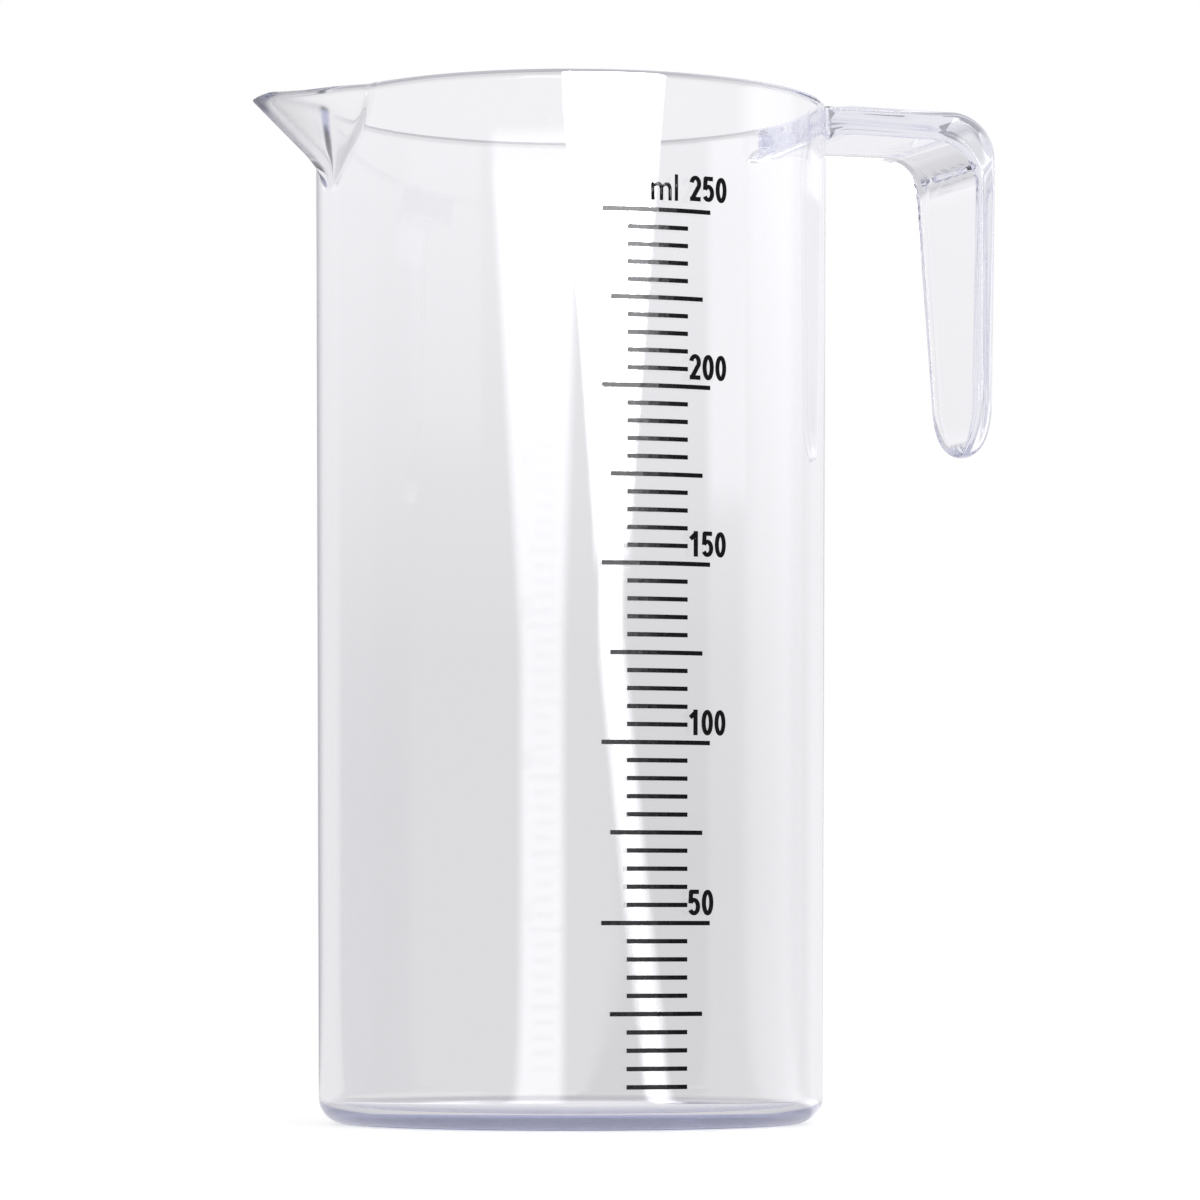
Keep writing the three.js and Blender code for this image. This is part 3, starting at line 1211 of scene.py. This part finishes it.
@dataclass
class Studio:
    """A white table and surround, with soft boxes and screens that the plastic shows.

    It is turned to the camera, whose angle round the cup is given in radians."""

    facing: float
    ambient: float = 0.55
    table_glow: float = 0.62
    table_albedo: float = 0.8
    table_size: float = 30.0
    table_gap: float = 0.1 * MM
    bounces: int = 128
    group: SharedGroup = field(init=False)
    white: Colour = (1.0, 1.0, 1.0, 1.0)
    cast: Colour = (0.982, 0.974, 1.0, 1.0)
    dusk: Colour = (0.82, 0.82, 1.0, 1.0)
    dusk_range: Pair = (0.15, 0.7)
    panels: tuple[Panel, ...] = (
        Panel("backdrop", Sight.THROUGH, *ALL_ROUND, (3.0, 8.5), *ALL_HEIGHTS, (1, 1), (0.75, 0.93)),
        Panel("dark ceiling", Sight.THROUGH, *ALL_ROUND, (14, 24), 17, 95, (1, 4), (-0.3, -0.3)),
        Panel(
            "dark left", Sight.THROUGH, (-140, -140), (-30, -30), (-10, 10), -9, 95,
            (8, 1), (-0.15, -0.15),
        ),
        # painted shade: on the table these two fields darken looks that meet it steeply, standing in for the
        # cup's shadow around and under its foot
        Panel("dark floor", Sight.THROUGH, *ALL_ROUND, (-20, -4), -95, -9, (1, 4), (-0.25, -0.25)),
        Panel("far floor", Sight.BOTH, *ALL_ROUND, (-20, -4), -95, -65, (1, 4), (-0.45, -0.45)),
        Panel("backdrop right", Sight.THROUGH, (90, 90), (179, 179), (1, 5), -9, 95, (0.4, 1), (-0.08, 0.0)),
        Panel(
            "grip", Sight.THROUGH, (175.2, 175.2), (176.8, 176.8), (5.2, 7.6), 4.6, 95,
            (0.2, 0.3), (0.1, 0.04),
        ),
        Panel("right box", Sight.NEAR, (10.5, -3), (27, 42), (3.9, 8.5), 3.6, 40, (1.8, 0.3), (9.0, 45.0)),
        Panel("right box foot", Sight.NEAR, (31, 13), (41, 23), (-1.5, 2.5), -6, 3.6, (1.8, 0.3), (5.0, 6.0)),
        Panel("left box", Sight.NEAR, (-22.5, -36.5), (-3.5, 4), (2.5, 8), -6, 7.65, (3, 0.1), (2.5, 2.8)),
        Panel("left screen", Sight.NEAR, (-181, -181), (-100, -100), *STRAIGHT, (9, 1), (0.1, 0.1)),
        Panel("left edge", Sight.NEAR, (-199, -199), (-160, -160), *STRAIGHT, (6, 1), (-0.35, -0.35)),
        Panel("right wall", Sight.NEAR, (86, 86), (181, 181), *STRAIGHT, (4, 1), (0.2, 0.2)),
        Panel("right lamp", Sight.NEAR, (88, 88), (120, 120), *STRAIGHT, (6, 1), (0.4, 0.4)),
        Panel("room", Sight.NEAR, *ALL_ROUND, (4, 8), *ALL_HEIGHTS, (1, 1), (0.72, 0.8)),
        Panel("ceiling", Sight.NEAR, *ALL_ROUND, (10, 16), 12, 95, (1, 3), (0.25, 0.25)),
        Panel("left wall", Sight.FAR, (-160, -160), (-72, -72), *STRAIGHT, (3, 1), (0.6, 0.6)),
        Panel("right screen", Sight.FAR, (45, 45), (87, 87), (-10, 10), 5.75, 95, (2, 0.2), (0.38, 0.38)),
        Panel("right wall", Sight.FAR, (87, 87), (160, 160), (2, 6), *ALL_HEIGHTS, (1, 1), (-0.3, 0.2)),
        Panel("room", Sight.FAR, (-160, -160), (160, 160), *STRAIGHT, (1, 1), (-0.25, -0.25)),
        Panel("back", Sight.FAR, *ALL_ROUND, *STRAIGHT, (1, 1), (0.95, 0.95)),
        Panel("ceiling", Sight.FAR, *ALL_ROUND, (10, 16), 12, 95, (1, 3), (0.25, 0.25)),
        Panel("room", Sight.DEEP, *ALL_ROUND, *STRAIGHT, (1, 1), (0.92, 0.92)),
    )

    def panel_group(self) -> SharedGroup:
        """Makes the node group of one bright field.

        Returns:
            A group that gives the field's brightness in a direction.
        """
        names = ["Azimuth", "Elevation", *self.panels[0].sockets()]
        group = SharedGroup("studio_panel", {name: Socket.VALUE for name in names}, "Brightness")
        graph = group.graph
        given = group.inputs

        def along(name: str) -> Output:
            """Finds a number of the panel at the look's elevation.

            Args:
                name: the number's name.

            Returns:
                Its value there.
            """
            inputs = {
                "Value": given["Elevation"],
                "From Min": given["Slant Low"],
                "From Max": given["Slant High"],
                "To Min": given[f"{name} Low"],
                "To Max": given[f"{name} High"],
            }
            return graph.node("ShaderNodeMapRange", inputs).outputs["Result"]

        def past(value: str, edge: Output, soft: str) -> Output:
            """Tells whether a look is past an edge of the panel.

            Args:
                value: the angle that is looked at.
                edge: the edge's angle.
                soft: the name of the edge's softness.

            Returns:
                0 before the edge and 1 past it.
            """
            low = graph.maths("SUBTRACT", edge, given[soft])
            high = graph.maths("ADD", edge, given[soft])
            return graph.step(given[value], low, high)

        after_left = past("Azimuth", along("Left"), "Softness")
        after_right = past("Azimuth", along("Right"), "Softness")
        over_bottom = past("Elevation", given["Bottom"], "Fade")
        over_top = past("Elevation", given["Top"], "Fade")
        within = graph.maths("MULTIPLY", after_left, graph.maths("SUBTRACT", 1.0, after_right))
        level = graph.maths("MULTIPLY", over_bottom, graph.maths("SUBTRACT", 1.0, over_top))
        share = graph.maths("MULTIPLY", within, level)
        group.finish(graph.maths("MULTIPLY", share, along("Level")))
        return group

    def sights(self, graph: Graph) -> tuple[Output, Output, dict[Sight, Output]]:
        """Tells how a ray looks at the studio.

        Args:
            graph: the tree that asks.

        Returns:
            Whether it comes straight from the camera, whether it is any other look, and the share of each
            sight in that look.
        """
        path = graph.node("ShaderNodeLightPath").outputs
        straight = path["Is Camera Ray"]
        other = graph.maths("MAXIMUM", path["Is Transmission Ray"], path["Is Glossy Ray"])

        def more_than(count: int, depth: str) -> Output:
            """Tells whether the ray was mirrored, or passed a surface, more than a number of times.

            Args:
                count: the number.
                depth: the name of the ray's own count.

            Returns:
                1 if it was, and 0 if not.
            """
            return graph.maths("GREATER_THAN", path[depth], count + 0.5)

        mirrored = more_than(0, "Glossy Depth")
        deep = more_than(1, "Glossy Depth")
        once = graph.maths("SUBTRACT", mirrored, deep)
        crossed = more_than(2, "Transmission Depth")
        entered = more_than(0, "Transmission Depth")
        mirrored_last = graph.maths("SUBTRACT", 1.0, path["Is Transmission Ray"])
        by_mouth = graph.maths("MULTIPLY", entered, mirrored_last)
        far = graph.maths("MULTIPLY", once, graph.maths("MAXIMUM", crossed, by_mouth))
        through = graph.maths("SUBTRACT", 1.0, mirrored)
        shares = {
            Sight.THROUGH: through,
            Sight.BOTH: graph.maths("MULTIPLY", through, crossed),
            Sight.NEAR: graph.maths("SUBTRACT", once, far),
            Sight.FAR: far,
            Sight.DEEP: deep,
        }
        return straight, other, shares

    def shown(
        self,
        graph: Graph,
        place: Output,
        height: Output | None,
        shares: dict[Sight, Output],
    ) -> Output:
        """Adds up the studio's fields as the plastic shows them.

        Args:
            graph: the tree that asks.
            place: the direction or the place that is looked at.
            height: the elevation there in degrees, or None to take it from the direction.
            shares: the share of each sight in the look.

        Returns:
            The brightness.
        """
        turned = graph.node(
            "ShaderNodeVectorRotate", {"Vector": place, "Angle": -self.facing}, rotation_type="Z_AXIS"
        )
        parts = graph.node("ShaderNodeSeparateXYZ", {"Vector": turned.outputs[0]}).outputs
        behind = graph.maths("MULTIPLY", parts["Y"], -1.0)
        azimuth = graph.maths("DEGREES", graph.maths("ARCTAN2", parts["X"], behind))
        if height is None:
            height = graph.maths("DEGREES", graph.maths("ARCSINE", parts["Z"]))
        total: Any = 0.0
        for panel in self.panels:
            inputs = {"Azimuth": azimuth, "Elevation": height, **panel.sockets()}
            total = graph.maths("MULTIPLY_ADD", self.group.use(graph, inputs), shares[panel.sight], total)
        return total

    def shade(self, graph: Graph, brightness: Output) -> Output:
        """Tints the studio's dark parts.

        Args:
            graph: the tree that asks.
            brightness: the brightness of the look.

        Returns:
            The colour of the light.
        """
        return graph.mix(graph.step(brightness, *self.dusk_range), self.dusk, self.cast)

    def light_world(self) -> None:
        """Makes the surround: white behind the cup, and the soft boxes where it mirrors the room."""
        world = bpy.data.worlds.new("studio")
        bpy.context.scene.world = world
        graph = blank(world)
        direction = graph.node("ShaderNodeTexCoord").outputs["Generated"]
        straight, other, shares = self.sights(graph)
        room = graph.maths("MULTIPLY", other, self.shown(graph, direction, None, shares))
        rest = graph.maths("SUBTRACT", 1.0, graph.maths("MAXIMUM", straight, other))
        plain = graph.maths("MULTIPLY_ADD", rest, self.ambient, straight)
        backdrop = graph.node("ShaderNodeBackground", {"Color": self.white, "Strength": plain})
        fields = graph.node("ShaderNodeBackground", {"Color": self.shade(graph, room), "Strength": room})
        light = graph.node("ShaderNodeAddShader")
        graph.feed(light.inputs[0], backdrop.outputs[0])
        graph.feed(light.inputs[1], fields.outputs[0])
        graph.node("ShaderNodeOutputWorld", {"Surface": light.outputs[0]})
        log.info("studio: %d panels", len(self.panels))

    def lay_table(self) -> None:
        """Lays the white table under the cup. For the camera it is lit and keeps the cup's shadow. For looks
        through and in the plastic it glows with painted studio light, with painted shade where it is seen
        steeply, standing in for the cup's shadow around its foot.
        """
        bm = bmesh.new()
        bmesh.ops.create_grid(bm, x_segments=1, y_segments=1, size=self.table_size)
        bmesh.ops.translate(bm, vec=(0, 0, -self.table_gap), verts=bm.verts)
        material = bpy.data.materials.new("white_table")
        graph = blank(material)
        albedo = self.table_albedo
        matt = graph.node("ShaderNodeBsdfDiffuse", {"Color": (albedo, albedo, albedo, 1.0)})
        straight, other, shares = self.sights(graph)
        glow = graph.maths("MULTIPLY", straight, self.table_glow)
        shine = graph.node("ShaderNodeEmission", {"Color": self.white, "Strength": glow})
        lit = graph.node("ShaderNodeAddShader")
        graph.feed(lit.inputs[0], matt.outputs[0])
        graph.feed(lit.inputs[1], shine.outputs[0])
        place = graph.node("ShaderNodeTexCoord").outputs["Object"]
        facing = graph.node("ShaderNodeLayerWeight", {"Blend": 0.5}).outputs["Facing"]
        below = graph.maths("ARCSINE", graph.maths("SUBTRACT", facing, 1.0))
        # painted studio light and painted shade: the table's glow as the plastic sees it
        level = self.shown(graph, place, graph.maths("DEGREES", below), shares)
        mirrored = graph.node("ShaderNodeEmission", {"Color": self.shade(graph, level), "Strength": level})
        both = graph.node("ShaderNodeMixShader", {"Fac": other})
        graph.feed(both.inputs[1], lit.outputs[0])
        graph.feed(both.inputs[2], mirrored.outputs[0])
        graph.node("ShaderNodeOutputMaterial", {"Surface": both.outputs[0]})
        table = finished("table", bm, material)
        log.info("table laid")

    def build(self) -> None:
        """Sets up the surround and the table."""
        self.group = self.panel_group()
        self.light_world()
        self.lay_table()
        scene = bpy.context.scene
        scene.view_settings.view_transform = "Standard"
        scene.cycles.max_bounces = self.bounces
        scene.cycles.glossy_bounces = self.bounces
        scene.cycles.transmission_bounces = self.bounces


@dataclass(frozen=True)
class PhotoCamera:
    """The camera of the photograph. Lengths are millimetres, and angles are radians."""

    facing: float = math.radians(-19.2)
    distance: float = 645.0
    eye_height: float = 22.11
    pitch: float = math.radians(3.451)
    yaw: float = math.radians(0.302)
    lens: float = 165.45

    def build(self) -> None:
        """Sets up the camera and makes it the scene's own."""
        ahead = Vector((-math.sin(self.facing), math.cos(self.facing), 0))
        right = Vector((math.cos(self.facing), math.sin(self.facing), 0))
        level = ahead * math.cos(self.yaw) + right * math.sin(self.yaw)
        look = level * math.cos(self.pitch) + Vector((0, 0, math.sin(self.pitch)))
        data = bpy.data.cameras.new("photo")
        data.lens = self.lens
        camera = bpy.data.objects.new("photo", data)
        camera.location = (ahead * -self.distance + Vector((0, 0, self.eye_height))) * MM
        camera.rotation_euler = look.to_track_quat("-Z", "Y").to_euler()
        bpy.context.scene.collection.objects.link(camera)
        bpy.context.scene.camera = camera
        log.info("camera at %s", tuple(round(value, 4) for value in camera.location))


def main() -> None:
    """Builds the cup, its print, the studio and the camera."""
    logging.basicConfig(level=logging.INFO, format="%(name)s: %(message)s")
    effects = SurfaceEffects()
    cup = CupMoulding(ClearPlastic(effects))
    cup.build()
    PrintedScale(PrintedInk(effects), cup).build()
    camera = PhotoCamera()
    Studio(camera.facing).build()
    camera.build()


if __name__ == "__main__":
    main()
